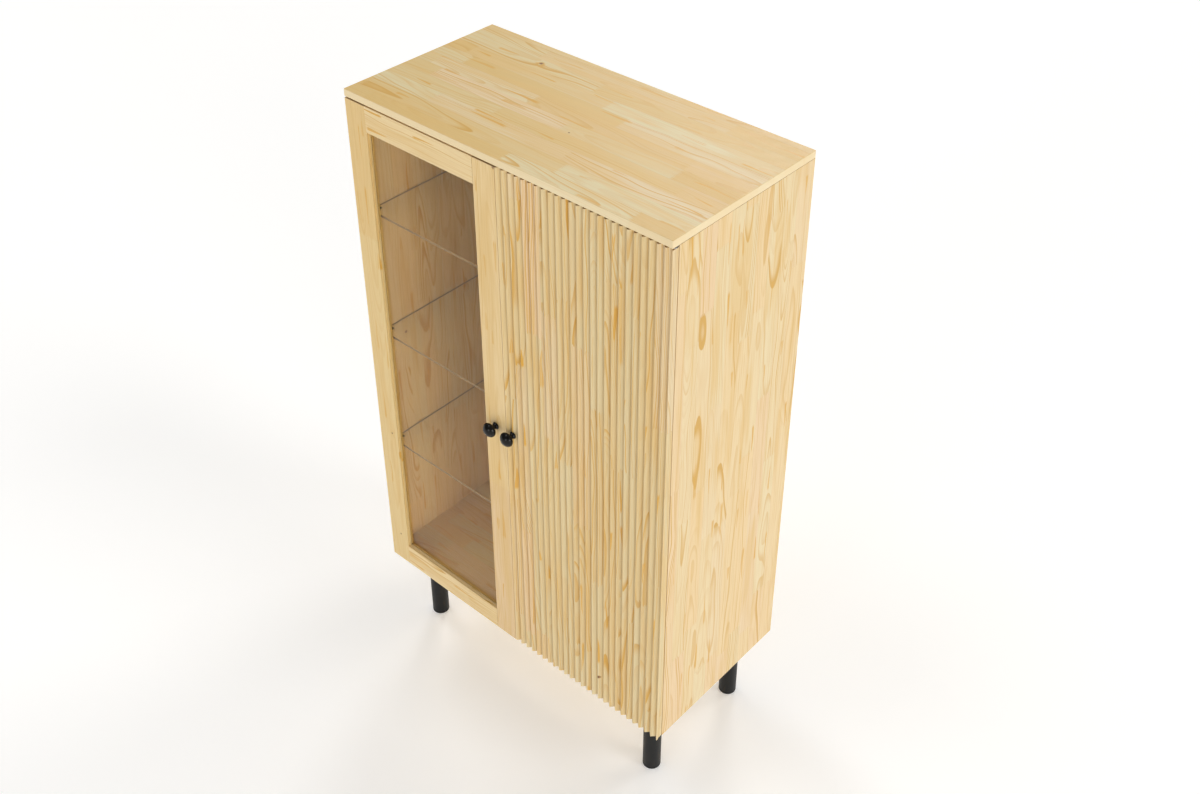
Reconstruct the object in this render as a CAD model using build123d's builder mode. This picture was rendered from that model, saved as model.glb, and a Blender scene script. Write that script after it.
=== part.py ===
from build123d import *
import os

os.makedirs("parts", exist_ok=True)

# Two-door display cabinet in edge-glued pine on four round legs, in millimetres.
# X runs to the viewer's right, Y from the doors to the back, Z up from the floor.

# Case
width = 900.0
case_depth = 422.0
side_height = 1340.0
leg_clearance = 220.0
top_thick = 18.0
side_thick = 18.0
bottom_thick = 18.0
partition_thick = 18.0
bottom_raise = 19.0
top_ease = 1.0
edge_ease = 0.6

# Tongues that join the panels, stopped short of the front and the back
tongue_thick = 6.0
tongue_length = 8.0
tongue_stop = 12.0
tongue_play = 0.2

# Back panel, in grooves
back_thick = 4.0
back_inset = 8.0
groove_depth = 7.0
groove_play = 0.2

# Doors
door_thick = 18.0
door_back_gap = 2.0
door_middle_gap = 2.0
door_heel_round = 1.5

# Glass door's frame, pane and beads
frame_width = 62.5
glass_set_back = 10.0
sight_step = 1.5
sight_step_back = 5.0
rebate_width = 8.5
pane_thick = 4.0
pane_play = 1.0
bead_play = 0.2
tenon_thick = 6.0
tenon_front = 3.0
tenon_height = 38.0
tenon_length = 30.0
tenon_play = 0.1

# Ribbed door
rib_count = 25
rib_depth = 8.0
rib_tip = 1.2
rib_valley = 0.7

# Knobs and their screws
knob_height = 33.0
knob_radius = 17.5
knob_edge_round = 5.0
knob_edge_height = 20.5
knob_edge_turn = 60.0
knob_base_radius = 9.0
knob_base_rim = 2.0
knob_neck_radius = 5.5
knob_neck_height = 9.5
knob_dome_radius = 18.5
knob_rise = 666.0
knob_seat_play = 0.3
knob_seat_depth = 2.0
screw_radius = 2.0
screw_play = 0.1
screw_grip = 12.0
screw_head_radius = 4.0
screw_head = 2.2

# Pivot hinges, let into the ends of the side panels
pivot_from_edge = 5.0
pivot_from_front = 11.5
pin_radius = 2.5
pin_in_door = 12.0
pin_play = 0.05
bush_wall = 0.95
bush_floor = 0.7
bush_seat_play = 0.05
bush_flange_reach = 1.0
bush_flange = 0.7
bush_play = 0.3
bracket_thick = 2.5
bracket_tongue = 4.0
bracket_margin = 2.0
bracket_length = 60.0
bracket_play = 0.2
notch_side_play = 0.7
notch_front_play = 1.6

# Magnets in the partition's front edge, strike plates on the doors
magnet_width = 5.0
magnet_height = 30.0
magnet_depth = 9.0
magnet_from_middle = 2.5
magnet_play = 0.1
catch_air = 0.6
catch_from_end = 90.0
strike_width = 12.0
strike_height = 38.0
strike_thick = 1.2
strike_let_in = 0.7
strike_from_edge = 1.5
strike_play = 0.2

# Shelves and the angle clips that carry them
lowest_shelf_rise = 352.0
shelf_pitch = 333.5
shelf_levels = ("lower", "middle", "upper")
glass_shelf_thick = 6.0
wood_shelf_thick = 18.0
shelf_end_play = 1.0
shelf_front_inset = 4.0
shelf_back_play = 2.0
clip_width = 12.0
clip_reach = 12.0
clip_drop = 14.0
clip_thick = 1.5
clip_from_front = 25.0
clip_from_back = 40.0

# Legs and glides
leg_radius = 22.0
leg_wall = 1.5
leg_from_side = 75.5
leg_from_edge = 60.0
leg_plate = 70.0
leg_plate_thick = 3.0
leg_plate_clip = 7.0
glide_height = 6.0
glide_ease = 2.0
glide_plug = 12.0
glide_play = 0.1

# Planes of the case and doors
half_width = width / 2
overall_depth = knob_height + door_thick + door_back_gap + case_depth
door_front = knob_height - overall_depth / 2
door_back = door_front + door_thick
case_front = door_back + door_back_gap
case_back = case_front + case_depth
case_bottom = leg_clearance
bottom_under = case_bottom + bottom_raise
bottom_top = bottom_under + bottom_thick
bottom_middle = bottom_under + bottom_thick / 2
side_top = case_bottom + side_height
overall_height = side_top + top_thick
inner_side = half_width - side_thick
side_middle = half_width - side_thick / 2
partition_face = partition_thick / 2
groove_back = case_back - back_inset
groove_front = groove_back - back_thick - 2 * groove_play
back_face = groove_back - groove_play - back_thick
pivot_gap = bracket_thick + bush_flange + bush_play
door_bottom = case_bottom
door_top = side_top - pivot_gap
meeting_edge = door_middle_gap / 2
door_width = half_width - meeting_edge
door_middle = (meeting_edge + half_width) / 2
rib_pitch = door_width / rib_count

# Sight opening and glass of the left door
opening_left = -half_width + frame_width
opening_right = -meeting_edge - frame_width
opening_bottom = door_bottom + frame_width
opening_top = door_top - frame_width
glass_front = door_front + glass_set_back
glass_back = glass_front + pane_thick
tenon_face = door_front + tenon_front

# Places of the fittings
pivot_x = half_width - pivot_from_edge
pivot_y = door_front + pivot_from_front
bush_radius = pin_radius + pin_play + bush_wall
bracket_back = case_front + bracket_length
lower_flange_z = door_bottom + pivot_gap
knob_z = door_bottom + knob_rise
glass_knob_x = -meeting_edge - frame_width / 2
ribbed_knob_x = meeting_edge + rib_pitch
ribbed_seat_y = door_front + knob_seat_depth
catch_zs = (door_bottom + catch_from_end, door_top - catch_from_end)
strike_face = door_back - strike_let_in + strike_thick
magnet_face = strike_face + catch_air
shelf_tops = [bottom_top + lowest_shelf_rise + n * shelf_pitch for n in range(len(shelf_levels))]
clip_ys = (case_front + clip_from_front, back_face - clip_from_back)
leg_ys = {"front": case_front + leg_from_edge, "back": case_back - leg_from_edge}
leg_xs = {"left": leg_from_side - half_width, "right": half_width - leg_from_side}
hands = {"left": -1, "right": 1}

# Where the tongues run: the sides' top tongues start behind the pivot brackets
tongue_ys = (case_front + tongue_stop, back_face - tongue_stop)
side_tongue_ys = (bracket_back + tongue_stop, back_face - tongue_stop)


def block(xs, ys, zs, mode=Mode.ADD):
    """A box between two corners, given as pairs along X, Y and Z."""
    centre = [(a + b) / 2 for a, b in (xs, ys, zs)]
    size = [abs(b - a) for a, b in (xs, ys, zs)]
    with Locations(tuple(centre)):
        Box(*size, mode=mode)


def rod(start, direction, radius, length, mode=Mode.ADD):
    """A round bar or bore from a start point along a direction."""
    with Locations(Plane(start, z_dir=direction)):
        Cylinder(radius, length, align=(Align.CENTER, Align.CENTER, Align.MIN), mode=mode)


def spread(middle, size):
    """A pair of limits, with the size centred on the middle."""
    return (middle - size / 2, middle + size / 2)


def standing_tongue(middle, ys, z, up):
    """A tongue on the end of an upright panel, up or down from z."""
    block(spread(middle, tongue_thick), ys, (z, z + up * tongue_length))


def lying_groove(middle, ys, z, up):
    """The groove that a standing tongue enters."""
    wide = spread(middle, tongue_thick + 2 * tongue_play)
    block(wide, ys, (z, z + up * (tongue_length + tongue_play)), Mode.SUBTRACT)


# Top panel
with BuildPart() as top_panel:
    block((-half_width, half_width), (door_front, case_back), (side_top, overall_height))
    chamfer(top_panel.edges(), top_ease)
    back_reach = inner_side + groove_depth
    block((-back_reach, back_reach), (groove_front, groove_back), (side_top, side_top + groove_depth),
          Mode.SUBTRACT)
    lying_groove(0, tongue_ys, side_top, 1)
    for hand in hands.values():
        lying_groove(hand * side_middle, side_tongue_ys, side_top, 1)
top_panel.part.label = "top_panel"
export_step(top_panel.part, "parts/top_panel.step")


# Side panels, with a recess at each end for a pivot bracket
def make_side_panel(hand):
    outer = hand * half_width
    inner = hand * inner_side
    with BuildPart() as panel:
        block((outer, inner), (case_front, case_back), (case_bottom, side_top))
        chamfer(panel.edges().filter_by(Axis.Z), edge_ease)
        standing_tongue(hand * side_middle, side_tongue_ys, side_top, 1)
        block((inner, inner + hand * groove_depth), (groove_front, groove_back),
              (bottom_top - groove_depth, side_top), Mode.SUBTRACT)
        block((inner, inner + hand * (tongue_length + tongue_play)), tongue_ys,
              spread(bottom_middle, tongue_thick + 2 * tongue_play), Mode.SUBTRACT)
        for z in (case_bottom, side_top - bracket_thick):
            with BuildSketch(Plane.XY.offset(z)):
                bracket_outline(hand, bracket_play)
            extrude(amount=bracket_thick, mode=Mode.SUBTRACT)
    return panel


def bracket_outline(hand, play):
    """Plan of a pivot bracket: a round-ended tongue under the door, a wide tail in the side."""
    with Locations((hand * pivot_x, pivot_y)):
        Circle(bracket_tongue + play)
    with Locations((hand * pivot_x, (pivot_y + bracket_back) / 2)):
        Rectangle(2 * (bracket_tongue + play), bracket_back - pivot_y)
    with Locations((hand * side_middle, case_front + (bracket_length + play) / 2)):
        Rectangle(side_thick - 2 * (bracket_margin - play), bracket_length + play)


for side, hand in hands.items():
    side_panel = make_side_panel(hand)
    side_panel.part.label = f"{side}_side_panel"
    export_step(side_panel.part, f"parts/{side}_side_panel.step")

# Bottom panel, tongued into the sides
with BuildPart() as bottom_panel:
    block((-inner_side, inner_side), (case_front, case_back), (bottom_under, bottom_top))
    block((-inner_side, inner_side), (groove_front, groove_back), (bottom_top - groove_depth, bottom_top),
          Mode.SUBTRACT)
    lying_groove(0, tongue_ys, bottom_top, -1)
    for hand in hands.values():
        block((hand * inner_side, hand * (inner_side + tongue_length)), tongue_ys,
              spread(bottom_middle, tongue_thick))
bottom_panel.part.label = "bottom_panel"
export_step(bottom_panel.part, "parts/bottom_panel.step")

# Centre partition, tongued into the top and the bottom, with the magnets' mortises
with BuildPart() as centre_partition:
    block((-partition_face, partition_face), (case_front, back_face), (bottom_top, side_top))
    chamfer(centre_partition.edges().filter_by(Axis.Z).group_by(Axis.Y)[0], edge_ease)
    standing_tongue(0, tongue_ys, side_top, 1)
    standing_tongue(0, tongue_ys, bottom_top, -1)
    for hand in hands.values():
        for z in catch_zs:
            near = hand * (magnet_from_middle - magnet_play)
            far = hand * (magnet_from_middle + magnet_width + magnet_play)
            block((near, far), (case_front, magnet_face + magnet_depth + magnet_play),
                  spread(z, magnet_height + 2 * magnet_play), Mode.SUBTRACT)
centre_partition.part.label = "centre_partition"
export_step(centre_partition.part, "parts/centre_partition.step")

with BuildPart() as door_magnets:
    for hand in hands.values():
        for z in catch_zs:
            near = hand * magnet_from_middle
            block((near, near + hand * magnet_width), (magnet_face, magnet_face + magnet_depth),
                  spread(z, magnet_height))
door_magnets.part.label = "door_magnets"
export_step(door_magnets.part, "parts/door_magnets.step")

# Back panel
with BuildPart() as back_panel:
    reach = groove_depth - 2 * groove_play
    block((-inner_side - reach, inner_side + reach), (back_face, back_face + back_thick),
          (bottom_top - reach, side_top + reach))
back_panel.part.label = "back_panel"
export_step(back_panel.part, "parts/back_panel.step")


# Shelves: glass on the left, wood on the right
def make_shelf(hand, top, thick):
    near = hand * (partition_face + shelf_end_play)
    far = hand * (inner_side - shelf_end_play)
    with BuildPart() as shelf:
        block((near, far), (case_front + shelf_front_inset, back_face - shelf_back_play),
              (top - thick, top))
        chamfer(shelf.edges().filter_by(Axis.X).group_by(Axis.Y)[0], edge_ease)
    return shelf


# Angle clips: one leg flat on the wall, the other under the shelf
def make_clips(hand, thick):
    with BuildPart() as clips:
        for wall, out in ((hand * partition_face, hand), (hand * inner_side, -hand)):
            for top in shelf_tops:
                for y in clip_ys:
                    seat = top - thick
                    along = spread(y, clip_width)
                    block((wall, wall + out * clip_thick), along, (seat - clip_drop, seat))
                    block((wall, wall + out * clip_reach), along, (seat - clip_thick, seat))
    return clips


for kind, hand, thick in (("glass", -1, glass_shelf_thick), ("wood", 1, wood_shelf_thick)):
    for level, top in zip(shelf_levels, shelf_tops):
        shelf = make_shelf(hand, top, thick)
        shelf.part.label = f"{kind}_shelf_{level}"
        export_step(shelf.part, f"parts/{kind}_shelf_{level}.step")
    clips = make_clips(hand, thick)
    clips.part.label = f"{kind}_shelf_clips"
    export_step(clips.part, f"parts/{kind}_shelf_clips.step")


# Legs: a round tube welded under a plate with clipped corners
def make_leg(x, y):
    with BuildPart() as leg:
        tube_top = bottom_under - leg_plate_thick
        rod((x, y, glide_height), (0, 0, 1), leg_radius, tube_top - glide_height)
        rod((x, y, glide_height), (0, 0, 1), leg_radius - leg_wall, tube_top - glide_height,
            Mode.SUBTRACT)
        with BuildSketch(Plane.XY.offset(tube_top)) as plate:
            with Locations((x, y)):
                Rectangle(leg_plate, leg_plate)
            chamfer(plate.vertices(), leg_plate_clip)
        extrude(amount=leg_plate_thick)
    return leg


for row, y in leg_ys.items():
    for side, x in leg_xs.items():
        leg = make_leg(x, y)
        leg.part.label = f"leg_{row}_{side}"
        export_step(leg.part, f"parts/leg_{row}_{side}.step")

# Glides, each plugged into the foot of a leg
with BuildPart() as leg_glides:
    with BuildSketch():
        with Locations([(x, y) for x in leg_xs.values() for y in leg_ys.values()]):
            Circle(leg_radius)
    extrude(amount=glide_height)
    chamfer(leg_glides.edges().group_by(Axis.Z)[0], glide_ease)
    for x in leg_xs.values():
        for y in leg_ys.values():
            rod((x, y, glide_height), (0, 0, 1), leg_radius - leg_wall - glide_play, glide_plug)
leg_glides.part.label = "leg_glides"
export_step(leg_glides.part, "parts/leg_glides.step")


# Pivot brackets, one at each end of each side panel
def make_bracket(hand, z):
    with BuildPart() as bracket:
        with BuildSketch(Plane.XY.offset(z)):
            bracket_outline(hand, 0)
            with Locations((hand * pivot_x, pivot_y)):
                Circle(pin_radius + pin_play, mode=Mode.SUBTRACT)
        extrude(amount=bracket_thick)
    return bracket


for side, hand in hands.items():
    for end, z in (("lower", case_bottom), ("upper", side_top - bracket_thick)):
        bracket = make_bracket(hand, z)
        bracket.part.label = f"{side}_{end}_pivot_bracket"
        export_step(bracket.part, f"parts/{side}_{end}_pivot_bracket.step")

# Pins through the brackets into the doors
with BuildPart() as pivot_pins:
    for hand in hands.values():
        for z, up in ((case_bottom, 1), (side_top, -1)):
            rod((hand * pivot_x, pivot_y, z), (0, 0, up), pin_radius, pivot_gap + pin_in_door)
pivot_pins.part.label = "pivot_pins"
export_step(pivot_pins.part, "parts/pivot_pins.step")


# What each door is cut for: the notch over the lower bracket, bush seats and strike plates
def cut_pivot_seats(hand):
    notch_inner = pivot_x - bracket_tongue - notch_side_play
    notch_front = pivot_y - bracket_tongue - notch_front_play
    block((hand * half_width, hand * notch_inner), (notch_front, door_back), (door_bottom, lower_flange_z),
          Mode.SUBTRACT)
    for z, up in ((lower_flange_z, 1), (door_top, -1)):
        rod((hand * pivot_x, pivot_y, z), (0, 0, up), bush_radius + bush_seat_play,
            pin_in_door + bush_play + bush_floor, Mode.SUBTRACT)


def strike_xs(hand, play):
    near = meeting_edge + strike_from_edge - play
    far = meeting_edge + strike_from_edge + strike_width + play
    return (hand * near, hand * far)


def cut_strike_seats(hand):
    for z in catch_zs:
        block(strike_xs(hand, strike_play), (door_back - strike_let_in, door_back),
              spread(z, strike_height + 2 * strike_play), Mode.SUBTRACT)


# Flanged bushes that turn on the pins
def make_bushes(hand):
    with BuildPart() as bushes:
        for z, up in ((lower_flange_z, 1), (door_top, -1)):
            rod((hand * pivot_x, pivot_y, z), (0, 0, up), bush_radius,
                pin_in_door + bush_play + bush_floor)
            rod((hand * pivot_x, pivot_y, z), (0, 0, -up), bush_radius + bush_flange_reach, bush_flange)
            rod((hand * pivot_x, pivot_y, z - up * bush_flange), (0, 0, up), pin_radius + pin_play,
                bush_flange + pin_in_door + bush_play, Mode.SUBTRACT)
    return bushes


# Glass door's stiles
def make_stile(edge, inward, hinged):
    """A full-height stile from its outer edge, with the glass on the inward side."""
    inner = edge + inward * frame_width
    with BuildPart() as stile:
        block((edge, inner), (door_front, door_back), (door_bottom, door_top))
        chamfer(stile.edges().group_by(Axis.Y)[0], edge_ease)
        if hinged:
            heel = stile.edges().filter_by(Axis.Z).group_by(Axis.Y)[-1].sort_by(Axis.X)[0]
            fillet(heel, door_heel_round)
        block((inner, inner + inward * sight_step), (door_front + sight_step_back, glass_front),
              (opening_bottom, opening_top))
        block((inner - inward * rebate_width, inner), (glass_front, door_back),
              (opening_bottom - rebate_width, opening_top + rebate_width), Mode.SUBTRACT)
        for middle in ((door_bottom + opening_bottom) / 2, (opening_top + door_top) / 2):
            block((inner - inward * (tenon_length + tenon_play), inner),
                  (tenon_face - tenon_play, tenon_face + tenon_thick + tenon_play),
                  spread(middle, tenon_height + 2 * tenon_play), Mode.SUBTRACT)
        if hinged:
            cut_pivot_seats(-1)
        else:
            cut_strike_seats(-1)
            rod((glass_knob_x, door_front, knob_z), (0, 1, 0), screw_radius + screw_play, door_thick,
                Mode.SUBTRACT)
    return stile


for name, edge, inward, hinged in (
    ("glass_door_hinge_stile", -half_width, 1, True),
    ("glass_door_meeting_stile", -meeting_edge, -1, False),
):
    stile = make_stile(edge, inward, hinged)
    stile.part.label = name
    export_step(stile.part, f"parts/{name}.step")


# Glass door's rails, tenoned into the stiles
def make_rail(low, high, inner, inward):
    with BuildPart() as rail:
        block((opening_left, opening_right), (door_front, door_back), (low, high))
        chamfer(rail.edges().filter_by(Axis.X).group_by(Axis.Y)[0], edge_ease)
        block((opening_left + sight_step, opening_right - sight_step),
              (door_front + sight_step_back, glass_front), (inner, inner + inward * sight_step))
        block((opening_left, opening_right), (glass_front, door_back),
              (inner - inward * rebate_width, inner), Mode.SUBTRACT)
        for end, out in ((opening_left, -1), (opening_right, 1)):
            block((end, end + out * tenon_length), (tenon_face, tenon_face + tenon_thick),
                  spread((low + high) / 2, tenon_height))
    return rail


for name, low, high, inner, inward in (
    ("glass_door_bottom_rail", door_bottom, opening_bottom, opening_bottom, 1),
    ("glass_door_top_rail", opening_top, door_top, opening_top, -1),
):
    rail = make_rail(low, high, inner, inward)
    rail.part.label = name
    export_step(rail.part, f"parts/{name}.step")

# Pane, set against the lip from behind
pane_reach = rebate_width - pane_play
with BuildPart() as glass_door_pane:
    block((opening_left - pane_reach, opening_right + pane_reach), (glass_front, glass_back),
          (opening_bottom - pane_reach, opening_top + pane_reach))
glass_door_pane.part.label = "glass_door_pane"
export_step(glass_door_pane.part, "parts/glass_door_pane.step")

# Glazing beads behind the pane: the upright ones run full height
bead_reach = rebate_width - bead_play
bead_left = opening_left - bead_reach
bead_right = opening_right + bead_reach
bead_low = opening_bottom - bead_reach
bead_high = opening_top + bead_reach
beads = {
    "glass_door_bead_left": ((bead_left, opening_left), (bead_low, bead_high)),
    "glass_door_bead_right": ((opening_right, bead_right), (bead_low, bead_high)),
    "glass_door_bead_bottom": ((opening_left, opening_right), (bead_low, opening_bottom)),
    "glass_door_bead_top": ((opening_left, opening_right), (opening_top, bead_high)),
}
for name, (xs, zs) in beads.items():
    with BuildPart() as bead:
        block(xs, (glass_back, door_back), zs)
    bead.part.label = name
    export_step(bead.part, f"parts/{name}.step")

# Ribbed door: one board with V grooves side by side, half a ridge left at each edge
with BuildPart() as ribbed_door_panel:
    with BuildSketch(Plane.XY.offset(door_bottom)):
        with Locations((door_middle, (door_front + door_back) / 2)):
            Rectangle(door_width, door_thick)
        with Locations((door_middle, door_front)):
            with GridLocations(rib_pitch, 0, rib_count, 1):
                mouth = (rib_pitch - rib_tip) / 2
                valley = rib_valley / 2
                Polygon((-mouth, 0), (mouth, 0), (valley, rib_depth), (-valley, rib_depth),
                        align=None, mode=Mode.SUBTRACT)
    extrude(amount=door_top - door_bottom)
    rear = ribbed_door_panel.edges().filter_by(Axis.Z).group_by(Axis.Y)[-1].sort_by(Axis.X)
    fillet(rear[-1], door_heel_round)
    cut_pivot_seats(1)
    cut_strike_seats(1)
    rod((ribbed_knob_x, door_front, knob_z), (0, 1, 0), knob_base_radius + knob_seat_play,
        knob_seat_depth, Mode.SUBTRACT)
    rod((ribbed_knob_x, ribbed_seat_y, knob_z), (0, 1, 0), screw_radius + screw_play, door_thick,
        Mode.SUBTRACT)
ribbed_door_panel.part.label = "ribbed_door_panel"
export_step(ribbed_door_panel.part, "parts/ribbed_door_panel.step")


# Each door's black fittings: knob, the screw that holds it from behind, and strike plates
def make_fittings(hand, x, seat_y):
    edge_centre = (knob_radius - knob_edge_round, knob_edge_height)
    with BuildPart() as fittings:
        with BuildSketch(Plane((x, seat_y, knob_z), x_dir=(1, 0, 0), z_dir=(0, 0, -1))):
            with BuildLine():
                edge = CenterArc(edge_centre, knob_edge_round, -knob_edge_turn, knob_edge_turn)
                Polyline((0, 0), (knob_base_radius, 0), (knob_base_radius, knob_base_rim),
                         (knob_neck_radius, knob_neck_height), edge @ 0)
                RadiusArc(edge @ 1, (0, knob_height), -knob_dome_radius)
                Line((0, knob_height), (0, 0))
            make_face()
        revolve(axis=Axis((x, seat_y, knob_z), (0, -1, 0)))
        rod((x, seat_y, knob_z), (0, -1, 0), screw_radius + screw_play, screw_grip + screw_play,
            Mode.SUBTRACT)
        rod((x, door_back, knob_z), (0, -1, 0), screw_radius, door_back - seat_y + screw_grip)
        rod((x, door_back, knob_z), (0, 1, 0), screw_head_radius, screw_head)
        for z in catch_zs:
            block(strike_xs(hand, 0), (door_back - strike_let_in, strike_face),
                  spread(z, strike_height))
    return fittings


for door, hand, x, seat_y in (
    ("glass_door", -1, glass_knob_x, door_front),
    ("ribbed_door", 1, ribbed_knob_x, ribbed_seat_y),
):
    fittings = make_fittings(hand, x, seat_y)
    fittings.part.label = f"{door}_fittings"
    export_step(fittings.part, f"parts/{door}_fittings.step")
    bushes = make_bushes(hand)
    bushes.part.label = f"{door}_bushes"
    export_step(bushes.part, f"parts/{door}_bushes.step")
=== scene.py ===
import math

import bpy
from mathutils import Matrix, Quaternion, Vector


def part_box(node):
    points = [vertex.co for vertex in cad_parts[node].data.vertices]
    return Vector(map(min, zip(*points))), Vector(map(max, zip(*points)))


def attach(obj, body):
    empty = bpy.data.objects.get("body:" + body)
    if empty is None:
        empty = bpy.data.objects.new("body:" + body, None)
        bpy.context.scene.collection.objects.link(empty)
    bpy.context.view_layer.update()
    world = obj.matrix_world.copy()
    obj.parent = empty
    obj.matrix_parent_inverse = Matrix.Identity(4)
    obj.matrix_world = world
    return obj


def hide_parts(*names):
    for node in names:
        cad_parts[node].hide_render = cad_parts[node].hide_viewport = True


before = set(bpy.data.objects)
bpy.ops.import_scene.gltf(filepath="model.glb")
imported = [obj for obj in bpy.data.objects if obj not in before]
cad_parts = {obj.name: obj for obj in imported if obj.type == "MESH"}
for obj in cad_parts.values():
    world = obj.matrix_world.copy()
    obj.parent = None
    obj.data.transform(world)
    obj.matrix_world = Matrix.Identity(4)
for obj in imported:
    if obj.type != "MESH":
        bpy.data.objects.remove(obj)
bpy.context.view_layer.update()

# Two-door display cabinet in edge-glued pine. Sizes are in metres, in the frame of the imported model.
MM = 0.001

# Pine staves and their finger joints
STAVE_WIDTH = 43 * MM
STAVE_LENGTH = 420 * MM
FINGER_PITCH = 4 * MM
FINGER_LENGTH = 9 * MM
GLUE_LINE = 0.35 * MM
STREAK_SPACING = 190 * MM
STREAK_LANE = 30 * MM

# Cross-head screws. Each is turned a little further than the one before, in radians
SCREW_HEAD_RADIUS = 3.6 * MM
SCREW_HEAD_RISE = 1.6 * MM
FLAT_HEAD_RISE = 0.35 * MM
SCREW_SIDES = 24
CROSS_LENGTH = 3.6 * MM
CROSS_WIDTH = 0.9 * MM
CROSS_DEPTH = 1.0 * MM
FIRST_CROSS_TURN = 0.7
NEXT_CROSS_TURN = 1.9

# Knobs, from their seat on the door, with the set screw and the strike plates behind
KNOB_SIDES = 72
KNOB_RISE = 33 * MM
KNOB_RADIUS = 17.5 * MM
KNOB_EDGE_HEIGHT = 20.5 * MM
KNOB_EDGE_ROUND = 6 * MM
KNOB_BASE_RADIUS = 9 * MM
KNOB_NECK_RADIUS = 5.5 * MM
SET_SCREW_HEAD = 2.2 * MM
STRIKE_SCREW_INSET = 7 * MM
STRIKE_PLATE_REACH = 100 * MM

# Legs and glides
LEG_RADIUS = 22 * MM
LEG_SIDES = 96
LEG_PLATE_THICK = 3 * MM
LEG_PLATE_CORNER = 7 * MM
PLATE_SCREW_REACH = 27 * MM
WELD_BEAD = 1.6 * MM
WELD_STEP = 0.3 * MM
FOOT_ROUND = 2 * MM
SPIGOT_RADIUS = 20.4 * MM
SPIGOT_RISE = 12 * MM

# Shelf clips and pivot brackets
CLIP_WIDTH = 12 * MM
CLIP_THICK = 1.5 * MM
CLIP_SCREW_DROP = 8 * MM
BRACKET_SCREW_X = 441 * MM
BRACKET_SCREW_INSETS = (12 * MM, 38 * MM)

# Faces that meet at less than one of these angles, in degrees, are shaded as one
ROUND = 35
SOFT = 20
FLAT = 1
BEVELLED_FROM = 40

# Camera: where the photo was taken from, in a frame of 1200 x 794 pixels
CAMERA_PLACE = (1.7596, -1.8686, 2.9307)
CAMERA_TURN = (56.503, 0.0, 41.7245)
CAMERA_LENS = 42.695
CAMERA_SHIFT = (0.0004, -0.1119)

# Studio: soft lights in a ring round the cabinet, by azimuth, elevation and strength
LIGHT_RING = {
    "high_front_left": (-132, 64, 0.38),
    "high_front": (-108, 52, 0.08),
    "low_front": (-84, 10, 0.40),
    "low_corner": (-36, 10, 0.30),
    "low_right": (-24, 10, 0.58),
    "right": (12, 42, 0.59),
    "high_back": (60, 64, 0.16),
    "back_right": (72, 30, 0.59),
    "back": (120, 30, 0.68),
    "back_left": (168, 42, 0.52),
}
LIGHT_SPREAD = 20
SKY_STRENGTH = 0.18
FLOOR_GLOW = 0.26
FLOOR_HALF = 30.0


class Graph:
    """A shader tree in the making: each call adds a node, wires it and gives its output."""

    def __init__(self, tree):
        self.tree = tree

    def feed(self, socket, value):
        if isinstance(value, bpy.types.NodeSocket):
            self.tree.links.new(value, socket)
        else:
            socket.default_value = value

    def add(self, kind, inputs=None, **settings):
        made = self.tree.nodes.new(kind)
        for key, value in settings.items():
            setattr(made, key, value)
        for name, value in (inputs or {}).items():
            self.feed(made.inputs[name], value)
        return made

    def calc(self, operation, *values):
        made = self.add("ShaderNodeMath", operation=operation)
        for socket, value in zip(made.inputs, values):
            self.feed(socket, value)
        return made.outputs[0]

    def vector(self, x, y, z):
        return self.add("ShaderNodeCombineXYZ", {"X": x, "Y": y, "Z": z}).outputs[0]

    def axes(self, vector):
        return self.add("ShaderNodeSeparateXYZ", {"Vector": vector}).outputs

    def channels(self, colour):
        return self.add("ShaderNodeSeparateColor", {"Color": colour}).outputs

    def noise(self, vector, scale, detail=2.0, roughness=0.5):
        made = self.add("ShaderNodeTexNoise", {"Vector": vector, "Scale": scale, "Detail": detail,
                                               "Roughness": roughness})
        return made.outputs["Fac"]

    def chance(self, vector):
        return self.add("ShaderNodeTexWhiteNoise", {"Vector": vector}).outputs["Color"]

    def ease(self, value, low, high, to_low=0.0, to_high=1.0):
        made = self.add("ShaderNodeMapRange", interpolation_type="SMOOTHSTEP")
        for name, given in zip(("Value", "From Min", "From Max", "To Min", "To Max"),
                               (value, low, high, to_low, to_high)):
            self.feed(made.inputs[name], given)
        return made.outputs["Result"]

    def spread(self, value, low, high):
        """A chance from 0 to 1 as a size from low to high."""
        return self.calc("MULTIPLY_ADD", value, high - low, low)

    def tint(self, factor, under, over):
        made = self.add("ShaderNodeMix", data_type="RGBA", clamp_factor=True)
        for index, value in ((0, factor), (6, under), (7, over)):
            self.feed(made.inputs[index], value)
        return made.outputs[2]

    def group(self, tree, inputs):
        return self.add("ShaderNodeGroup", inputs, node_tree=tree).outputs


KINDS = {"value": "NodeSocketFloat", "vector": "NodeSocketVector", "colour": "NodeSocketColor"}


def new_group(name, inputs, outputs):
    """An empty node group with named sockets: its graph, its inputs and its outputs."""
    tree = bpy.data.node_groups.new(name, "ShaderNodeTree")
    for way, sockets in (("INPUT", inputs), ("OUTPUT", outputs)):
        for label, kind in sockets.items():
            tree.interface.new_socket(label, in_out=way, socket_type=KINDS[kind])
    given = tree.nodes.new("NodeGroupInput").outputs
    result = tree.nodes.new("NodeGroupOutput").inputs
    return Graph(tree), given, result


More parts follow.
